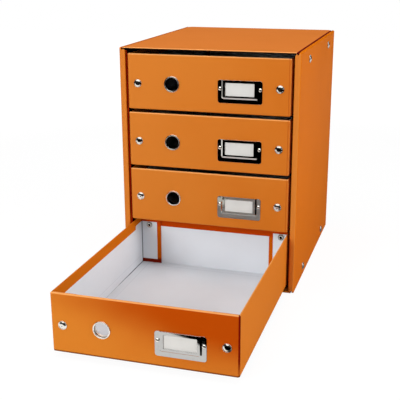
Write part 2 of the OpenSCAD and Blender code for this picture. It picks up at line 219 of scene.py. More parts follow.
class Finish:
    """A material or a world whose nodes are being added."""

    def __init__(self, owner):
        owner.use_nodes = True
        self.owner = owner
        self.tree = owner.node_tree
        self.tree.nodes.clear()

    def node(self, kind, values=None, output=0, **settings):
        """Adds a node, sets or wires its inputs, and returns one of its outputs."""
        made = self.tree.nodes.new("ShaderNode" + kind)
        for name, value in settings.items():
            setattr(made, name, value)
        for key, value in (values or {}).items():
            socket = pick(made.inputs, key)
            if isinstance(value, Wire):
                self.tree.links.new(value.socket, socket)
            else:
                socket.default_value = value
        return Wire(self, pick(made.outputs, output))

    def where(self):
        """The point on the piece, in metres, in the frame that all pieces share."""
        return self.node("TexCoord", output="Object")

    def axes(self):
        """That point's x, y and z in millimetres."""
        place = self.node("SeparateXYZ", {0: self.where()})
        return [place.of(axis) * (1 / MM) for axis in "XYZ"]

    def noise(self, scale, detail=2.0, roughness=0.5):
        """Cloudy grey noise, scale times per metre."""
        values = {"Vector": self.where(), "Scale": scale, "Detail": detail, "Roughness": roughness}
        return self.node("TexNoise", values, output="Fac")

    def mix(self, factor, first, second):
        """A colour between two colours."""
        values = {"Factor_Float": factor, "A_Color": first, "B_Color": second}
        return self.node("Mix", values, output="Result_Color", data_type="RGBA")

    def bump(self, height, depth=1.0):
        """Light and shade as if the surface rose by depth millimetres where height is 1."""
        return self.node("Bump", {"Height": height, "Distance": depth * MM})

    def surface(self, **values):
        """A Principled surface, wired to the material's output."""
        self.finish_with(self.node("BsdfPrincipled", values))
        return self.owner

    def finish_with(self, shader, kind="OutputMaterial"):
        """Wires a shader to the tree's output."""
        made = self.tree.nodes.new("ShaderNode" + kind)
        self.tree.links.new(shader.socket, made.inputs["Surface"])


def rgb(red, green, blue):
    """A colour, its parts as linear shares of the light that comes back."""
    return (red, green, blue, 1)


def new_finish(name):
    return Finish(bpy.data.materials.new(name))


print("nodes of", Finish.__name__, "ready")

# %% [markdown]
# ## The covering paper
#
# The board is covered with orange paper whose surface is smooth like fine leather. It has
# a satin shine, a grain of about half a millimetre, and a tone that drifts slowly over a
# sheet. The grain is a bump of cloudy noise, since a Voronoi pattern would look like real
# hide. A function of the place says how deep the tone is. The marks come on top of it,
# each one a mask and the colour that it brings.

# %% Cover paper
ORANGE_PALE = rgb(0.64, 0.19, 0.021)
ORANGE_DEEP = rgb(0.56, 0.125, 0.002)
ORANGE_HIGHLIGHT = rgb(0.90, 0.42, 0.14)
COVER_ROUGHNESS = 0.5
COVER_SPECULAR = 0.12
CLOUDS_PER_M = 9
CLOUD_TONE = 0.5
GRAINS_PER_M = 2600
GRAIN_ROUGHNESS = 0.6
GRAIN_SHINE = 0.12
FIBRES_PER_M = 300
GRAIN_SHARE = 0.6
GRAIN_DEPTH = 0.03
NOISE_MEAN = 0.5


def cover_paper(name, depth, marks, pale=ORANGE_PALE, deep=ORANGE_DEEP, specular=COVER_SPECULAR):
    """Covering paper between a pale and a deep tone, with its marks laid on in turn."""
    paper = new_finish(name)
    x, y, z = paper.axes()
    cloud = paper.noise(CLOUDS_PER_M, detail=3) - NOISE_MEAN
    grain = paper.noise(GRAINS_PER_M, detail=3, roughness=GRAIN_ROUGHNESS)
    fibres = paper.noise(FIBRES_PER_M)
    colour = paper.mix((depth(x, y, z) + cloud * CLOUD_TONE).step(0.0, 1.0), pale, deep)
    for mask, mark in marks:
        colour = paper.mix(mask(x, y, z), colour, mark)
    return paper.surface(**{
        "Base Color": colour,
        "Roughness": COVER_ROUGHNESS + (grain - NOISE_MEAN) * GRAIN_SHINE,
        "Normal": paper.bump(grain * GRAIN_SHARE + fibres * (1 - GRAIN_SHARE), GRAIN_DEPTH),
        "Specular IOR Level": specular,
    })


print("cover paper of roughness", COVER_ROUGHNESS)

# %% [markdown]
# ## The cabinet's papers
#
# A side panel folds round the front corner into a narrow strip, and the strip folds in
# once more into a leg. The strip is as pale as the drawers, and the leg falls into shade.
# Grooves run where the top and bottom panels meet the sides, with painted shade in them
# in dark red. Behind the folds the board is near black. Each of these could be a material
# of its own, put on chosen faces, but a mask can be soft and can cross a face, so it is
# one material with masks. First come its colours.

# %% Cabinet colours
ORANGE_PALEST = rgb(0.77, 0.223, 0.037)
ORANGE_PANEL = rgb(0.725, 0.174, 0.004)
STRIP_ORANGE = rgb(0.64, 0.196, 0.028)
GROOVE_SHADE = rgb(0.16, 0.002, 0.001)
LEG_RED = rgb(0.95, 0.07, 0.002)
INNER_BLACK = rgb(0.006, 0.003, 0.003)
EDGE_NEAR_BLACK = rgb(0.004, 0.002, 0.002)
print("cabinet oranges", ORANGE_PANEL[:3], "and", ORANGE_PALEST[:3])

# %% [markdown]
# ### The grooves
#
# The grooves run on the side panels, the top and the bottom alike, so one mask paints the
# shade in all of them. They end in small holes that the maker punches so that the fold
# doesn't tear, and the mask paints those dark as well.
# The mask measures from the cabinet's own edges, which it reads from the frame, so it
# stays in place if the model's sizes change.

# %% Grooves
FRONT_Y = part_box("cabinet_side_left")[0][1] / MM
OUTER_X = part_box("cabinet_side_right")[1][0] / MM
TOP_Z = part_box("cabinet_top")[1][2] / MM
SEAM_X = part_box("cabinet_top")[1][0] / MM
BOARD = 2.0
GROOVE_HALF = 1.7
GROOVE_START = 0.3
GROOVE_SEEN = (-100, 100, 0.35, 1.0)
RELIEF_R = 1.35
RELIEF_DEPTH = 2.5


def cabinet_seam_shade(x, y, z):
    """Painted shade in the grooves beside the top and bottom panels and in their relief holes."""
    off = x.size() - SEAM_X
    middle = TOP_Z / 2
    level = (z - middle).size() - (middle - BOARD)
    groove = off.size().under(GROOVE_HALF, soft=0.2) * level.step(0, GROOVE_START)
    reach = (off * off + level * level) ** 0.5
    hole = reach.under(RELIEF_R, soft=0.1) * y.under(FRONT_Y + RELIEF_DEPTH, soft=0.5)
    return (groove * x.step(*GROOVE_SEEN)).most(hole)


SEAM_SHADES = (cabinet_seam_shade, GROOVE_SHADE)
print("cabinet front at", round(FRONT_Y, 2), "mm and top at", round(TOP_Z, 2), "mm")

# %% [markdown]
# ### The side panels
#
# From its front corner a side panel shows the pale strip, the red leg behind it, and the
# near-black inner face between the front and the rear folds. Light that grazes a satin
# panel would wash its colour out, so this paper shines less than the drawers' does. The
# bottom panel takes the same tone and the plain shine.

# %% Side panels' paper
SIDE_SPECULAR = 0.02
WHOLE_DEPTH = (-150, 150)
PANEL_TONE = (0.2, 0.4)
STRIP_FOLD = 1.0
LEG_INSET = 6.0
LEG_SHADE = (1.5, 8.0)
REAR_STRIPS = (0, 10, 1.0, 0.0)
INNER_INSET = 1.85
FOLDED_FACE = 2.15
HEM = 1.75


def cabinet_depth(x, y, z):
    """The side panels' paper deepens slowly towards the back."""
    return y.step(*WHOLE_DEPTH, *PANEL_TONE)


def strip_front(x, y, z):
    """The front strips, as pale as the drawers between them."""
    return y.under(FRONT_Y + STRIP_FOLD, soft=0.2)


def strip_leg(x, y, z):
    """The inner legs of the front strips, which fall into shade as they run back."""
    shade = y.step(*(FRONT_Y + place for place in LEG_SHADE))
    return x.size().under(OUTER_X - LEG_INSET, soft=0.1) * shade * y.step(*REAR_STRIPS)


def side_back(x, y, z):
    """The inner face of a side panel, between its front and rear folds."""
    inner = x.size().under(OUTER_X - INNER_INSET, soft=0.05)
    between = y.size().under(-FRONT_Y - FOLDED_FACE, soft=0.05)
    return inner * between * z.under(TOP_Z - HEM, soft=0.05)


SIDE_COVER = cover_paper("side_cover", cabinet_depth, pale=ORANGE_PANEL, specular=SIDE_SPECULAR,
                         marks=((strip_front, STRIP_ORANGE), (side_back, INNER_BLACK),
                                (strip_leg, LEG_RED), SEAM_SHADES))
BOTTOM_COVER = cover_paper("bottom_cover", cabinet_depth, marks=(SEAM_SHADES,))
print("papers", SIDE_COVER.name, "and", BOTTOM_COVER.name)

# %% [markdown]
# ### The top panel
#
# The top lies under the light, and its paper is painted the palest, as painted light and
# sheen from above. Along the front edge, where it is folded over, a pale line is painted
# as a painted highlight. Under that line the front edge is near black, and it reads as
# part of the dark gap over the first drawer. Both lines are about a millimetre wide. A
# mask draws them without cutting the mesh.

# %% Top panel's paper
TOP_SPECULAR = 0.05
WHOLE_WIDTH = (-120, 120)
TOP_TONE = (0.1, 0.2)
TOP_SHEET = 1.85
TOP_FOLD = (1.3, 0.75)
TOP_FOLD_HIGHLIGHT = 0.8
TOP_EDGE_BAND = (1.1, 0.95)


def top_depth(x, y, z):
    """The top hardly deepens to the right."""
    return x.step(*WHOLE_WIDTH, *TOP_TONE)


def top_back(x, y, z):
    """The top panel's lower face and flanges."""
    return z.under(TOP_Z - TOP_SHEET, soft=0.05)


def top_highlight(x, y, z):
    """The pale line along the top panel's front edge, a painted highlight."""
    back, down = TOP_FOLD
    return y.under(FRONT_Y + back, soft=0.3) * z.over(TOP_Z - down, soft=0.25) * TOP_FOLD_HIGHLIGHT


def top_black_edge(x, y, z):
    """The front edge under that line, near black."""
    back, down = TOP_EDGE_BAND
    return y.under(FRONT_Y + back, soft=0.1) * z.under(TOP_Z - down, soft=0.15)


TOP_COVER = cover_paper("top_cover", top_depth, pale=ORANGE_PALEST, specular=TOP_SPECULAR,
                        marks=((top_highlight, ORANGE_HIGHLIGHT), SEAM_SHADES, (top_black_edge, EDGE_NEAR_BLACK),
                               (top_back, INNER_BLACK)))
print("paper", TOP_COVER.name)

# %% [markdown]
# ## The drawers' papers
#
# A drawer's tray is folded from covered board too. Along the rim and the outer folds the
# paper is painted paler, as painted highlights where the folds catch the light. Inside it
# is painted deeper, as painted shade, and at the rear wall nearly red. The outer sides are
# painted paler for the light on them, and the closed drawers' tone deepens a little to the
# right as painted shade. The drawer that is drawn out stands where the light falls off:
# its front deepens to the right and upwards, its right edge goes dark red, and a brown
# line follows its foot. Lamps could do part of that, but they would light the other
# drawers too, so it is painted into the paper. First come the colours.

# %% Drawer colours
ORANGE_LIT = rgb(0.655, 0.205, 0.022)
ORANGE_SIDE = rgb(0.72, 0.205, 0.018)
ORANGE_INSIDE = rgb(0.64, 0.15, 0.001)
ORANGE_DEEPEST = rgb(0.46, 0.062, 0.0005)
FOLD_SHADE_RED = rgb(0.42, 0.06, 0.001)
EDGE_RED = rgb(0.16, 0.003, 0.0005)
REAR_ORANGE = rgb(0.60, 0.10, 0.001)
REAR_RED = rgb(0.58, 0.058, 0.0005)
FOOT_RED = rgb(0.2, 0.01, 0.001)
FOOT_BROWN = rgb(0.10, 0.02, 0.004)
print("drawer oranges", ORANGE_LIT[:3], "to", ORANGE_DEEPEST[:3])

# %% [markdown]
# ### Where a tray's edges are
#
# The four trays are folded alike, so the same masks serve them all. A mask has to know
# where its own tray's faces and edges are. The class Tray reads them from the frame, and
# gives the two measures that several masks share.

# %% Tray
FRONT_WALL = 3.45


class Tray:
    """A drawer's tray: its front face, back, foot, rim and half width in millimetres."""

    def __init__(self, i):
        low, high = (Vector(corner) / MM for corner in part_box(f"drawer_{i}_tray"))
        self.drawn_out = i == DRAWN_OUT
        self.face, self.back = low.y, high.y
        self.foot, self.rim = low.z, high.z
        self.half = high.x

    def front(self, y):
        """The front wall, which is doubled."""
        return y.under(self.face + FRONT_WALL, soft=0.05)

    def upward(self, z):
        """0 at the foot and 1 at the rim."""
        return (z - self.foot) * (1 / (self.rim - self.foot))


TRAYS = {i: Tray(i) for i in DRAWERS}
print("rims at", [round(tray.rim, 1) for tray in TRAYS.values()], "mm")

# %% [markdown]
# ### The outside of a tray
#
# These masks follow the folds that show from outside. Each one takes the tray first, then
# the place. The first function isn't a mask: it says how deep the tone is at a place.

# %% Tones and folds
RIGHT_TONE = 0.5
OPEN_TONE_CURVE = 1.3
OPEN_RIGHT_TONE = (0.0, 0.7, 0.4, 1.0)
OPEN_UPPER_TONE = (0.4, 1.0, 0.0, 0.4)
HIGHLIGHT_SHARE = 0.75
RIM_FOLD = 1.3
UPRIGHT_FOLD = 0.65
UPRIGHT_HIGHLIGHT = 0.5
RIGHT_RIM_INSET = 1.85
RIGHT_RIM_TOP = 0.65
RIGHT_RIM_HIGHLIGHT = 0.8
OUTER_FACE = 0.2
FOLD_INSET = 2.6
FOLD_HALF = (0.2, 0.8)
FOLD_SEEN = 0.6


def tray_depth(tray, x, y, z):
    """Painted shade: the tone deepens to the right, away from the light, and on the open drawer's
    front also upwards.
    """
    across = (x + tray.half) * (1 / (2 * tray.half))
    if not tray.drawn_out:
        return across * RIGHT_TONE
    up = tray.upward(z)
    to_right = across ** OPEN_TONE_CURVE * up.step(*OPEN_RIGHT_TONE)
    return (to_right + up.step(*OPEN_UPPER_TONE)) * tray.front(y)


def fold_highlights(tray, x, y, z):
    """Painted highlights on the rim's fold, with the upright fold on the right or the open drawer's
    right rim.
    """
    edge = z.over(tray.rim - RIM_FOLD, soft=0.4)
    if tray.drawn_out:
        right_rim = (x.over(tray.half - RIGHT_RIM_INSET, soft=0.05)
                     * z.over(tray.rim - RIGHT_RIM_TOP, soft=0.25))
        return (edge * tray.front(y)).most(right_rim * RIGHT_RIM_HIGHLIGHT) * HIGHLIGHT_SHARE
    upright = x.over(tray.half - UPRIGHT_FOLD, soft=0.25) * UPRIGHT_HIGHLIGHT
    return edge.most(upright) * tray.front(y) * HIGHLIGHT_SHARE


def outer_sides(tray, x, y, z):
    """The outer faces of the side walls, painted paler for the light on them."""
    return x.size().over(tray.half - OUTER_FACE, soft=0.1)


def fold_shade_line(tray, x, y, z):
    """Painted shade in a line on a closed drawer's front, where its right side is folded in."""
    return x.near(tray.half - FOLD_INSET, *FOLD_HALF) * FOLD_SEEN * tray.front(y)


print("paper highlighted by", HIGHLIGHT_SHARE, "on the folds")

# %% [markdown]
# The open drawer's front has two dark lines more, where it turns away from the light: one
# down its right edge, and one along its foot. The foot line is higher at the front, as the
# fold there is round.

# %% Dark lines of the open drawer
EDGE_INSET = 0.8
EDGE_HALF = (0.5, 1.6)
EDGE_DEPTH = 1.9
EDGE_TONE = (0.0, 0.3, 0.4, 1.0)
FOOT_LIFT = (2.0, 4.0, 1.5, 0.6)
FOOT_LINE = 0.95
FOOT_SEEN = 0.75


def edge_shade(tray, x, y, z):
    """The shaded right edge of the open drawer's front."""
    line = x.near(tray.half - EDGE_INSET, *EDGE_HALF) * y.under(tray.face + EDGE_DEPTH, soft=0.3)
    return line * tray.upward(z).step(*EDGE_TONE)


def foot_shade(tray, x, y, z):
    """The line along the open drawer's foot."""
    lift = (y - tray.face).step(*FOOT_LIFT)
    return (z - tray.foot - lift).under(FOOT_LINE, soft=0.35) * FOOT_SEEN


print("foot line", FOOT_LINE, "mm high")

# %% [markdown]
# ### The inside of a tray
#
# Inside, the lining covers most of the paper. What stays bare is the rims, the edges of
# the flaps and a border round the rear wall. They get less light towards the rear and the
# foot, which is why there are three marks in a row for the rear.

# %% Inside
WALL = 1.7
INSIDE_START = 3.55
REAR_WALL = 6.25
REAR_HEM = 15
REAR_FOOT = 9


def inner_walls(tray, x, y, z):
    """The inner faces of the walls, between the front and the rear, which take painted shade."""
    between = (y.over(tray.face + INSIDE_START, soft=0.05)
               * y.under(tray.back - WALL, soft=0.05))
    return x.size().under(tray.half - WALL, soft=0.05) * between


def rear_wall(tray, x, y, z):
    """The flaps and the inner face of the rear wall."""
    return inner_walls(tray, x, y, z) * y.over(tray.back - REAR_WALL, soft=0.25)


def rear_band(tray, x, y, z):
    """The hem along the rear wall's rim."""
    return rear_wall(tray, x, y, z) * z.over(tray.rim - REAR_HEM, soft=0.5)


def rear_foot(tray, x, y, z):
    """The shaded foot of the rear wall and its flaps."""
    return rear_wall(tray, x, y, z) * z.under(tray.foot + REAR_FOOT, soft=3)


print("rear wall", REAR_WALL, "mm deep with its flaps")

# %% [markdown]
# ### Each drawer's paper
#
# Now the masks meet their colours, in the order in which they are laid on. Only the lists
# differ between the closed drawers and the open one. Python's partial fills in a
# function's first argument, here the tray, which leaves the function of x, y and z that
# the cover paper asks for.

# %% Drawer papers
OPEN_SPECULAR = 0.02
OPEN_TONES = {"pale": ORANGE_LIT, "deep": ORANGE_DEEPEST, "specular": OPEN_SPECULAR}
WALL_MARKS = ((inner_walls, ORANGE_INSIDE), (fold_highlights, ORANGE_HIGHLIGHT), (outer_sides, ORANGE_SIDE))
REAR_MARKS = ((rear_wall, REAR_ORANGE), (rear_band, REAR_RED), (rear_foot, FOOT_RED))
CLOSED_MARKS = (*WALL_MARKS, (fold_shade_line, FOLD_SHADE_RED), *REAR_MARKS)
OPEN_MARKS = (*WALL_MARKS, (edge_shade, EDGE_RED), *REAR_MARKS, (foot_shade, FOOT_BROWN))


def tray_cover(i):
    """The paper of drawer i's tray."""
    tray = TRAYS[i]
    marks, tones = (OPEN_MARKS, OPEN_TONES) if tray.drawn_out else (CLOSED_MARKS, {})
    own_marks = [(partial(mask, tray), colour) for mask, colour in marks]
    return cover_paper(f"drawer_{i}_cover", partial(tray_depth, tray), own_marks, **tones)


TRAY_COVERS = {i: tray_cover(i) for i in DRAWERS}
print("drawer papers", [paper.name for paper in TRAY_COVERS.values()])

# %% [markdown]
# ## The board inside the cabinet
#
# The shelves and the back panel are near black and matte, so that the gaps round the
# drawers read as dark lines. They only show through those gaps, so one dark colour with
# a faint tooth is enough.

# %% Inner board
INNER_ROUGHNESS = 0.85
INNER_SPECULAR = 0.03
INNER_TOOTH_PER_M = 900
INNER_TOOTH_DEPTH = 0.02


def inner_paper():
    paper = new_finish("inner_paper")
    return paper.surface(**{
        "Base Color": INNER_BLACK,
        "Roughness": INNER_ROUGHNESS,
        "Normal": paper.bump(paper.noise(INNER_TOOTH_PER_M), INNER_TOOTH_DEPTH),
        "Specular IOR Level": INNER_SPECULAR,
    })


INNER = inner_paper()
print("inner board", INNER.name)

# %% [markdown]
# ## The lining paper
#
# Inside, the drawers are lined with matte white paper with a cool cast. It has no shine
# to speak of, and its tooth is finer than the cover's. The sheet was scored before it
# was folded, which leaves faint lines a finger's width from the walls. They are drawn
# twice, as a grey colour of painted shade and as a shallow groove in the bump, because a
# soft light hardly shows a bump by itself. The inner corners are darkened a little, as
# paper pushed into a corner shades itself more than the light's bounces show. The floor
# is painted darker near the front wall and to the left, as painted shade.

# %% Lining paper
WHITE_COOL = rgb(0.82, 0.855, 0.895)
WHITE_COOL_SHADE = rgb(0.78, 0.815, 0.855)
FLOOR_SHADE = rgb(0.555, 0.605, 0.65)
CORNER_DARK = rgb(0.09, 0.085, 0.09)
SCORE_GREY = rgb(0.52, 0.54, 0.58)
LINING_ROUGHNESS = 0.7
LINING_SPECULAR = 0.3
LINING_CLOUDS_PER_M = 14
TOOTH_PER_M = 1800
TOOTH_SHARE = 0.1
SCORE_DEPTH = 0.1
SCORE_INSET = 11.5
SCORE_HALF = (0.1, 0.7)
SCORE_SEEN = 0.35
CLOUD_REACH = (0.3, 0.7)
LINING = 1.0
FLOOR_TOP = 1.1
FLOOR_CORNER = 1.25
CORNER = 1.05
CORNER_SOFT = 0.35
CORNER_FROM_BACK = (30, 120, 0.9, 0.1)
FLAP_FACE = 2.2
SEEN_FROM_RING = (90, 120, 0.4, 1.0)
SHADE_FROM_FRONT = (40, 260, 1.0, 0.0)
SHADE_FROM_LEFT = (-80, 100, 1.0, 0.2)


def lining_paper(i):
    """Drawer i's lining, with the faint scored lines that run along its floor and walls."""
    low, high = (Vector(corner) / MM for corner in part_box(f"drawer_{i}_lining"))
    paper = new_finish(f"drawer_{i}_lining")
    x, y, z = paper.axes()
    from_side, from_back = high.x - x.size(), high.y - y
    from_front, from_floor = y - low.y, z - low.z

    def scored(distance):
        """1 on a line that runs SCORE_INSET from a wall or the floor."""
        return distance.near(SCORE_INSET, *SCORE_HALF)

    on_floor = from_floor.under(FLOOR_TOP, soft=0.1)
    on_wall = from_side.under(LINING, soft=0.1)
    floor_lines = scored(from_side).most(scored(from_back)) * on_floor
    lines = floor_lines.most(scored(from_floor) * on_wall)

    at_wall = from_side.under(CORNER, CORNER_SOFT)
    upright_corner = at_wall * (from_back - FLAP_FACE).under(CORNER, CORNER_SOFT)
    floor_corner = at_wall * from_floor.under(FLOOR_CORNER, CORNER_SOFT)
    corners = upright_corner.most(floor_corner * from_back.step(*CORNER_FROM_BACK))

    # Painted shade on the floor, darker near the front wall and to the left.
    front_left = (from_front.step(*SEEN_FROM_RING) * from_front.step(*SHADE_FROM_FRONT)
                  * x.step(*SHADE_FROM_LEFT))
    cloud = paper.noise(LINING_CLOUDS_PER_M, detail=3).step(*CLOUD_REACH)
    sheet = paper.mix(cloud, WHITE_COOL, WHITE_COOL_SHADE)
    sheet = paper.mix(on_floor * front_left, sheet, FLOOR_SHADE)
    sheet = paper.mix(corners, sheet, CORNER_DARK)
    return paper.surface(**{
        "Base Color": paper.mix(lines * SCORE_SEEN, sheet, SCORE_GREY),
        "Roughness": LINING_ROUGHNESS,
        "Normal": paper.bump(paper.noise(TOOTH_PER_M) * TOOTH_SHARE - lines, SCORE_DEPTH),
        "Specular IOR Level": LINING_SPECULAR,
    })


LININGS = {i: lining_paper(i) for i in DRAWERS}
print("lining papers", [paper.name for paper in LININGS.values()])

# %% [markdown]
# ## Bright plated steel
#
# The snaps, rings and label holders are pressed from thin steel and plated. A plated part
# shows its surroundings, so most of its look comes from the studio; the material only
# adds a faint haze and the slow waves that rolling leaves in a sheet. The tint stands for
# light as well: small round parts take a brighter tint as painted highlight, and the parts
# on the inside a darker one as painted shade.

# %% Plated steel
STEEL_TINT = rgb(0.76, 0.735, 0.69)
HIGHLIGHT_TINT = rgb(0.98, 0.94, 0.85)
COOL_TINT = rgb(0.60, 0.59, 0.57)
SHADED_PART_TINT = rgb(0.42, 0.40, 0.35)
DIM_MIRROR_TINT = rgb(0.46, 0.455, 0.41)
HOLLOW_DARK = rgb(0.01, 0.01, 0.01)
HAZE_PER_M = 220
HAZE_REACH = (0.35, 0.75)
HAZE_TINT = 0.96
STEEL_ROUGHNESS = 0.03
HAZE_ROUGHNESS = 0.03
BARREL_ROUGHNESS = 0.45
WAVES_PER_M = 40
WAVE_DEPTH = 0.006


def plated_steel(name, tint=STEEL_TINT, marks=(), rough=None, pressed=None):
    """Plated steel. Marks are masks with their colours. Two more functions return the
    mask of a rough barrel, and the height in millimetres of what is pressed into it."""
    steel = new_finish(name)
    x, y, z = steel.axes()
    haze = steel.noise(HAZE_PER_M, detail=3).step(*HAZE_REACH)
    hazy_tint = rgb(*(part * HAZE_TINT for part in tint[:3]))
    colour = steel.mix(haze, tint, hazy_tint)
    for mask, mark in marks:
        colour = steel.mix(mask(x, y, z), colour, mark)
    height = steel.noise(WAVES_PER_M, detail=1) * WAVE_DEPTH
    if pressed:
        height = height + pressed(x, y, z)
    roughness = STEEL_ROUGHNESS + haze * HAZE_ROUGHNESS
    if rough:
        roughness = roughness + rough(x, y, z) * BARREL_ROUGHNESS
    return steel.surface(**{
        "Base Color": colour,
        "Metallic": 1.0,
        "Roughness": roughness,
        "Normal": steel.bump(height),
    })


STEEL = plated_steel("plated_steel")
HIGHLIGHT_STEEL = plated_steel("highlight_steel", tint=HIGHLIGHT_TINT)
COOL_STEEL = plated_steel("cool_steel", tint=COOL_TINT)
SHADED_PART_STEEL = plated_steel("shaded_part_steel", tint=SHADED_PART_TINT)
print("steels", [steel.name for steel in (STEEL, HIGHLIGHT_STEEL, COOL_STEEL, SHADED_PART_STEEL)])

# %% [markdown]
# ### The snaps
#
# A snap's cap is pressed flat in the middle, so it mirrors a broad band of the dark room
# between the white ceiling and the white floor. Its mesh is a plain dome. The bump lifts
# the dome's flank by up to half a millimetre, which turns the light as the flat middle
# would, and costs no points. The hollow post behind the cap gets no light, so it is dark.

# %% Steel of the snaps
CAP_R = 5.3
CAP_FLAT = (0.4, 3.6, 0.0, 0.47)
POST_R = 1.9
POST_START = 2.55


def snap_steel(i):
    """The snap caps of drawer i, flat in the middle, with posts that are dark inside."""
    low, high = (Vector(corner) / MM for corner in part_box(f"drawer_{i}_snap_caps"))
    axis_x = high.x - CAP_R

    def from_axis(x, z):
        """How far a point is from the axis of the nearest cap, at the front or the rear."""
        aside = x.size() - axis_x
        at_front, at_rear = z - (low.z + CAP_R), z - (high.z - CAP_R)
        to_front = (aside * aside + at_front * at_front) ** 0.5
        return to_front.least((aside * aside + at_rear * at_rear) ** 0.5)

    def flat_middle(x, y, z):
        return from_axis(x, z).step(*CAP_FLAT)

    def hollow(x, y, z):
        behind_caps = (y.over(low.y + POST_START, soft=0.05)
                       * y.under(high.y - POST_START, soft=0.05))
        return from_axis(x, z).under(POST_R, soft=0.05) * behind_caps

    return plated_steel(f"drawer_{i}_snap_steel", tint=HIGHLIGHT_TINT, marks=((hollow, HOLLOW_DARK),),
                        pressed=flat_middle)


SNAP_STEELS = {i: snap_steel(i) for i in DRAWERS}
print("snap steels", len(SNAP_STEELS))

# %% [markdown]
# ### The finger rings
#
# A finger ring is rolled over on both sides of the front. The rolling tool leaves its
# barrel rough, and the barrel lies in the shade of the hole. The studio's light is too
# even to bring that shade, so a dark mark stands for it.

# %% Steel of the finger rings
BARREL_R = 8.9
BARREL_START = 0.85
OPEN_BARREL_SHADE = 0.75
OPEN_BARREL_SHADE_END = 2.9
CLOSED_BARREL_SHADE = 0.93


def ring_steel(i):
    """The finger ring of drawer i, whose barrel is rough and lies in shade."""
    low, high = (Vector(corner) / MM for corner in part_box(f"drawer_{i}_finger_ring"))
    axis_x, axis_z = (low.x + high.x) / 2, (low.z + high.z) / 2

    def barrel(x, y, z):
        aside, up = x - axis_x, z - axis_z
        reach = (aside * aside + up * up) ** 0.5
        return reach.under(BARREL_R, soft=0.05) * y.over(low.y + BARREL_START, soft=0.05)

    def shaded(x, y, z):
        """The open drawer's barrel gets light from behind, the others' don't."""
        if i == DRAWN_OUT:
            shade = y.under(low.y + OPEN_BARREL_SHADE_END, soft=0.5) * OPEN_BARREL_SHADE
        else:
            shade = CLOSED_BARREL_SHADE
        return barrel(x, y, z) * shade

    return plated_steel(f"drawer_{i}_ring_steel", tint=HIGHLIGHT_TINT, marks=((shaded, HOLLOW_DARK),),
                        rough=barrel)


RING_STEELS = {i: ring_steel(i) for i in DRAWERS}
print("ring steels", len(RING_STEELS))

# %% [markdown]
# ### The steel of the label holders
#
# The four holders don't look alike: the upper two mirror black, the third is a dull grey
# where it is flat, and the lowest is cool and pale. Part of that is what each of them
# mirrors, and the rest is painted reflection in its tint: the third one's flat faces are
# tinted dim for the shaded face that they mirror, and the lowest one's tint is cooler and
# darker than the others'. The third one's mask tells its two flat levels, the border and
# the raised crest, from the slope between them by how far forward they lie.

# %% Steel of the label holders
CREST_DEPTH = 0.1
BORDER_RISE = 0.7


def grey_plate_steel():
    """The steel of drawer 3's label holder: its flat faces are tinted dim, as painted reflection of
    a shaded face, and its slope keeps the brighter tint.
    """
    low, high = (Vector(corner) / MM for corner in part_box("drawer_3_label_holder"))

    def flat(x, y, z):
        crest = y.under(low.y + CREST_DEPTH, soft=0.05)
        border = y.over(high.y - BORDER_RISE, soft=0.05)
        return crest.most(border)

    return plated_steel("grey_steel", tint=HIGHLIGHT_TINT, marks=((flat, DIM_MIRROR_TINT),))


PLATE_STEELS = {1: STEEL, 2: STEEL, 3: grey_plate_steel(), 4: COOL_STEEL}
print("plate steels", [steel.name for steel in PLATE_STEELS.values()])

# %% [markdown]
# ## The label cards
#
# Each holder carries a blank card. It is thin uncoated stock in a warm white, with a tooth
# that only shows where light grazes it. One flat white would look empty at this size, so
# slow noise mixes two whites that are close to each other.

# %% Card
CARD_WHITE = rgb(0.69, 0.68, 0.65)
CARD_SHADE = rgb(0.66, 0.65, 0.62)
CARD_ROUGHNESS = 0.6
CARD_CLOUDS_PER_M = 60
CARD_TOOTH_PER_M = 2500
CARD_TOOTH_DEPTH = 0.012


def card_stock():
    card = new_finish("card_stock")
    cloud = card.noise(CARD_CLOUDS_PER_M, detail=3).step(*CLOUD_REACH)
    return card.surface(**{
        "Base Color": card.mix(cloud, CARD_WHITE, CARD_SHADE),
        "Roughness": CARD_ROUGHNESS,
        "Normal": card.bump(card.noise(CARD_TOOTH_PER_M), CARD_TOOTH_DEPTH),
    })


CARD = card_stock()
print("card", CARD.name)

# %% [markdown]
# ## A finish for each piece
#
# The frame's record gives each piece a material slot. Most pieces take their slot's
# finish. The pieces whose masks follow one drawer's own measures take the finish made
# for that drawer. The rivets take the brighter tint as painted highlight, and the sockets
# and washers the darker one as painted shade.
# Tables say this in a way that is easy to add to, and they are asked in turn, the most
# specific one first.

# %% Finish of each frame node
OWN_FINISHES = {"tray": TRAY_COVERS, "lining": LININGS, "snap_caps": SNAP_STEELS,
                "finger_ring": RING_STEELS}
KIND_FINISHES = {"label_rivets": HIGHLIGHT_STEEL, "snap_sockets": SHADED_PART_STEEL,
                 "ring_washer": SHADED_PART_STEEL}
CABINET_FINISHES = {"cabinet_top": TOP_COVER, "cabinet_bottom": BOTTOM_COVER,
                    "side_snap_sockets": SHADED_PART_STEEL}
SLOT_FINISHES = {"cover_board": SIDE_COVER, "inner_board": INNER, "chromed_steel": STEEL,
                 "card": CARD}
slot_of_node = {s["node"]: s["material_slot"] for s in frame["record"]["subparts"]}


def finish_of(name):
    """The finish of a frame node, from the most specific table that knows it."""
    if name.startswith("drawer_"):
        number, kind = name.removeprefix("drawer_").split("_", 1)
        if kind in OWN_FINISHES:
            return OWN_FINISHES[kind][int(number)]
        if kind in KIND_FINISHES:
            return KIND_FINISHES[kind]
    if name in CABINET_FINISHES:
        return CABINET_FINISHES[name]
    return SLOT_FINISHES[slot_of_node[name]]


for name, piece in nodes.items():
    piece.data.materials.clear()
    piece.data.materials.append(finish_of(name))
print("finished", len(nodes), "frame nodes")

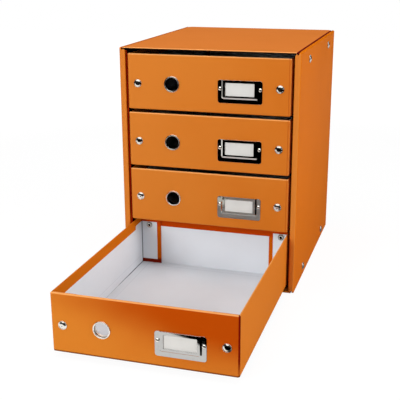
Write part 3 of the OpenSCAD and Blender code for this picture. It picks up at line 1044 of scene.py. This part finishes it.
# %% [markdown]
# ## The label holders
#
# A label holder is stamped from one sheet of steel. The press raises a pocket that is open
# at the top, and leaves a sloping wall round its left, lower and right sides. That slope
# catches the light as a bright line, so it is modelled: rows of points follow the pocket's
# outline from its foot to its crest. First come the outlines, as lists of points seen from
# the front. A corner is an arc, and the right-hand half is the left-hand one mirrored.

# %% Outlines
CORNER_STEPS = 8
WINDOW_R = 0.6


def arc(cx, cz, r, start, end):
    """Points on an arc, its angles in quarter turns."""
    turns = [start + (end - start) * k / CORNER_STEPS for k in range(CORNER_STEPS + 1)]
    return [(cx + r * math.cos(t * math.pi / 2), cz + r * math.sin(t * math.pi / 2)) for t in turns]


def mirrored(points):
    """The same points on the other side of the middle, in the reverse order."""
    return [(-x, z) for x, z in reversed(points)]


def pocket_outline(half_w, low, top, r):
    """From the pocket's upper left corner down, across and up to its upper right one."""
    left = [(-half_w, top)] + arc(-half_w + r, low + r, r, 2, 3)
    return left + [(0.0, low)] + mirrored(left)


def border_outline(half_w, height, r):
    """Round the whole plate, from its top against the clock."""
    left = arc(-half_w + r, height - r, r, 1, 2) + arc(-half_w + r, r, r, 2, 3)
    return left + mirrored(left)


def half_window(half_w, low, high):
    """The window's edge on the right-hand side, from its lower middle to its upper middle."""
    r = WINDOW_R
    corners = arc(half_w - r, low + r, r, -1, 0) + arc(half_w - r, high - r, r, 0, 1)
    return [(0.0, low)] + corners + [(0.0, high)]


print("an arc has", len(arc(0, 0, 1, 0, 1)), "points")

# %% [markdown]
# ### The plate's mesh
#
# A bmesh is a mesh under construction: it takes points and faces one at a time. The
# slope is a band of four-sided faces between each row of points and the next. The flat
# border and the crest are large faces that share the first and the last row, so the
# surface has no seams. The pocket's window splits the crest into two halves.

# %% Plate mesh
EAR_W = 6.05
LIP_H = 6.4
SIDE_RIM = 4.2
LOWER_RIM = 3.4
UPPER_RIM = 3.6
SHEET_T = 0.6
PLATE_CORNER_R = 3.2
SLOPE_W = 2.4
SLOPE_FOOT_R = 3.2
SLOPE_PROFILE = ((0.0, 0.0), (0.1, 0.04), (0.2, 0.14), (0.8, 0.86), (0.9, 0.96), (1.0, 1.0))


def stamped_plate(width, height, rise):
    """The front surface of a label holder, its lower middle at the origin, facing -Y."""
    bm = bmesh.new()

    def row(points, y):
        return [bm.verts.new((x * MM, y * MM, z * MM)) for x, z in points]

    pocket_half = width / 2 - EAR_W
    rows = []
    for share, up in SLOPE_PROFILE:
        inset = share * SLOPE_W
        points = pocket_outline(pocket_half + SLOPE_W / 2 - inset, LIP_H - SLOPE_W / 2 + inset,
                                height, SLOPE_FOOT_R - inset)
        rows.append(row(points, -SHEET_T - up * (rise - SHEET_T)))
    for outer, inner in zip(rows, rows[1:]):
        for k in range(len(outer) - 1):
            bm.faces.new((outer[k], outer[k + 1], inner[k + 1], inner[k]))

    border = border_outline(width / 2, height, PLATE_CORNER_R)
    bm.faces.new(row(border, -SHEET_T) + rows[0][::-1])

    crest = rows[-1]
    middle = len(crest) // 2
    edge = half_window(pocket_half - SIDE_RIM, LIP_H + LOWER_RIM, height - UPPER_RIM)
    right = row(edge, -rise)
    left = [right[0]] + row([(-x, z) for x, z in edge[1:-1]], -rise) + [right[-1]]
    top_middle = row([(0.0, height)], -rise)
    bm.faces.new(crest[middle:] + top_middle + right[::-1])
    bm.faces.new(crest[:middle + 1] + left + top_middle)

    bmesh.ops.recalc_face_normals(bm, faces=bm.faces)
    if sum(face.normal.y for face in bm.faces) > 0:
        bmesh.ops.reverse_faces(bm, faces=bm.faces)
    for face in bm.faces:
        face.smooth = True
    mesh = bpy.data.meshes.new("stamped_plate")
    bm.to_mesh(mesh)
    bm.free()
    return mesh


print("slope", SLOPE_W, "mm wide in", len(SLOPE_PROFILE), "rows")

# %% [markdown]
# ### The finished holders
#
# The sheet's thickness and its softened edges are modifiers, as they follow from the
# sheet: Solidify adds the back, Bevel rounds what is sharper than a slope, and Weighted
# Normal keeps the large faces flat to the light. Each holder takes its size and place
# from the frame's own label holder, which it replaces, and rides on its drawer.

# %% Label holders
SOFT_EDGE = 0.14
SHARPER_THAN = math.radians(50)


def stamped_label_holder(i):
    low, high = (Vector(corner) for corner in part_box(f"drawer_{i}_label_holder"))
    size = (high - low) / MM
    plate = link(bpy.data.objects.new(f"label_holder_{i}", stamped_plate(size.x, size.z, size.y)))
    plate.location = ((low.x + high.x) / 2, high.y, low.z)
    thick = plate.modifiers.new("sheet", "SOLIDIFY")
    thick.thickness = SHEET_T * MM
    thick.offset = -1
    soft = plate.modifiers.new("soft_edges", "BEVEL")
    soft.width = SOFT_EDGE * MM
    soft.segments = 2
    soft.limit_method = "ANGLE"
    soft.angle_limit = SHARPER_THAN
    flat = plate.modifiers.new("flat_faces", "WEIGHTED_NORMAL")
    flat.mode = "FACE_AREA"
    plate.data.materials.append(PLATE_STEELS[i])
    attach(plate, f"drawer_{i}")
    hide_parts(f"drawer_{i}_label_holder")
    return plate


plates = [stamped_label_holder(i) for i in DRAWERS]
print("label holders", [plate.name for plate in plates])

# %% [markdown]
# ## The floor
#
# What plated steel shows is the studio itself. So the floor answers each kind of ray in
# its own way, which the Light Path node tells apart. To the camera it is plain white that
# keeps a trace of the drawers' shadow near them. To mirrors it is a white table that ends
# in front of the open drawer, along a slanting edge, and is dark beyond it and to its
# right: that edge draws the black wedges in the label holders. To all other light it is
# matte pale grey.

# %% Floor
FLOOR_SIZE = 6.0
FLOOR_GREY = rgb(0.8, 0.8, 0.8)
PURE_WHITE = rgb(1, 1, 1)
BLACK = rgb(0, 0, 0)
FLOOR_GLOW = 1.06
SHADOW_KEPT = (800, 1500, 0.12, 0.0)
MIRROR_WHITE = 0.9
TABLE_SLANT = -0.5
TABLE_EDGE = (-499, -491)
RIGHT_EDGE = (70, 100, 1.0, 0.05)
FAR_RIGHT = (240, 360, 0.0, 0.8)
BESIDE_DRAWER = (-360, -300, 0.0, 0.18)
FAR_LEFT = (-1400, -700, 0.35, 1.0)


def floor_finish():
    floor = new_finish("floor")
    path = floor.node("LightPath")
    x, y, _ = floor.axes()
    table = (y + x * TABLE_SLANT).step(*TABLE_EDGE)
    white_there = x.step(*RIGHT_EDGE).most(x.step(*FAR_RIGHT)).most(y.step(*BESIDE_DRAWER))
    shown = floor.mix(table * white_there * x.step(*FAR_LEFT), BLACK, PURE_WHITE)
    kept = ((x * x + y * y) ** 0.5).step(*SHADOW_KEPT)
    bright = floor.node("Emission", {"Color": PURE_WHITE, "Strength": FLOOR_GLOW})
    matte = floor.node("BsdfDiffuse", {"Color": FLOOR_GREY})
    in_mirrors = floor.node("Emission", {"Color": shown, "Strength": MIRROR_WHITE})
    to_camera, to_mirror = path.of("Is Camera Ray") * (1 - kept), path.of("Is Glossy Ray")
    seen = floor.node("MixShader", {0: to_camera, 1: matte, 2: bright})
    floor.finish_with(floor.node("MixShader", {0: to_mirror, 1: seen, 2: in_mirrors}))
    return floor.owner


def add_floor():
    mesh = bpy.data.meshes.new("floor")
    half = FLOOR_SIZE / 2
    square = [(-half, -half, 0), (half, -half, 0), (half, half, 0), (-half, half, 0)]
    mesh.from_pydata(square, [], [(0, 1, 2, 3)])
    mesh.materials.append(floor_finish())
    floor = link(bpy.data.objects.new("floor", mesh))


add_floor()
print("floor", FLOOR_SIZE, "m square")

# %% [markdown]
# ## The room
#
# The room is a World material with the same three answers. The camera sees pure white.
# Mirrors see a dark room with a bright ceiling and a paler wall on the right, which gives
# the snaps their white tops over a black band. All other light comes softly from the
# camera's side of the room, and less from behind the cabinet.

# %% World
ROOM_LIGHT = 0.42
ROOM_MIRRORED = 1.3
CEILING = (0.55, 0.62, 0.015, 1.0)
RIGHT_WALL = (0.75, 0.9)
RIGHT_WALL_UP = (0.0, 0.1, 0.0, 0.7)
BEHIND_CABINET = (0.0, 0.6, 1.0, 0.12)


def add_world():
    world = bpy.data.worlds.new("studio")
    bpy.context.scene.world = world
    room = Finish(world)
    path = room.node("LightPath")
    towards = room.node("SeparateXYZ", {0: room.node("TexCoord", output="Generated")})
    sideways, away, up = (towards.of(axis) for axis in "XYZ")
    right_wall = sideways.step(*RIGHT_WALL) * up.step(*RIGHT_WALL_UP)
    bright = room.mix(up.step(*CEILING).most(right_wall), BLACK, PURE_WHITE)
    from_behind = room.mix(away.step(*BEHIND_CABINET), BLACK, PURE_WHITE)
    seen = room.node("Background", {"Color": PURE_WHITE})
    fill = room.node("Background", {"Color": from_behind, "Strength": ROOM_LIGHT})
    in_mirrors = room.node("Background", {"Color": bright, "Strength": ROOM_MIRRORED})
    unseen = room.node("MixShader", {0: path.of("Is Glossy Ray"), 1: fill, 2: in_mirrors})
    room.finish_with(room.node("MixShader", {0: path.of("Is Camera Ray"), 1: unseen, 2: seen}),
                     "OutputWorld")
    return world


print("world", add_world().name)

# %% [markdown]
# ## The lamps
#
# Three soft lamps shape the drawers: a wide one overhead, a stronger one from the front
# left, and one from the right that lights the cabinet's side. A lamp is a bright
# rectangle, so mirrors would show its outline. Only the overhead one may be mirrored.

# %% Lamps
CENTRE = (0, -0.1, 0.15)


def add_lamp(name, place, size, watts, mirrored=True):
    """A soft rectangular lamp, aimed at the middle of the drawers."""
    data = bpy.data.lights.new(name, "AREA")
    data.shape = "RECTANGLE"
    data.size, data.size_y = size
    data.energy = watts
    lamp = link(bpy.data.objects.new(name, data))
    lamp.location = place
    lamp.rotation_euler = (Vector(CENTRE) - Vector(place)).to_track_quat("-Z", "Y").to_euler()
    lamp.visible_camera = False
    lamp.visible_glossy = mirrored
    return lamp


lamps = [
    add_lamp("overhead_softbox", (0.0, -0.2, 1.6), (1.4, 1.2), 10),
    add_lamp("front_left_softbox", (-0.8, -1.9, 0.75), (0.6, 0.8), 19, mirrored=False),
    add_lamp("right_softbox", (1.9, -0.5, 0.7), (0.8, 1.2), 17.5, mirrored=False),
]
print("lamps", [lamp.name for lamp in lamps])
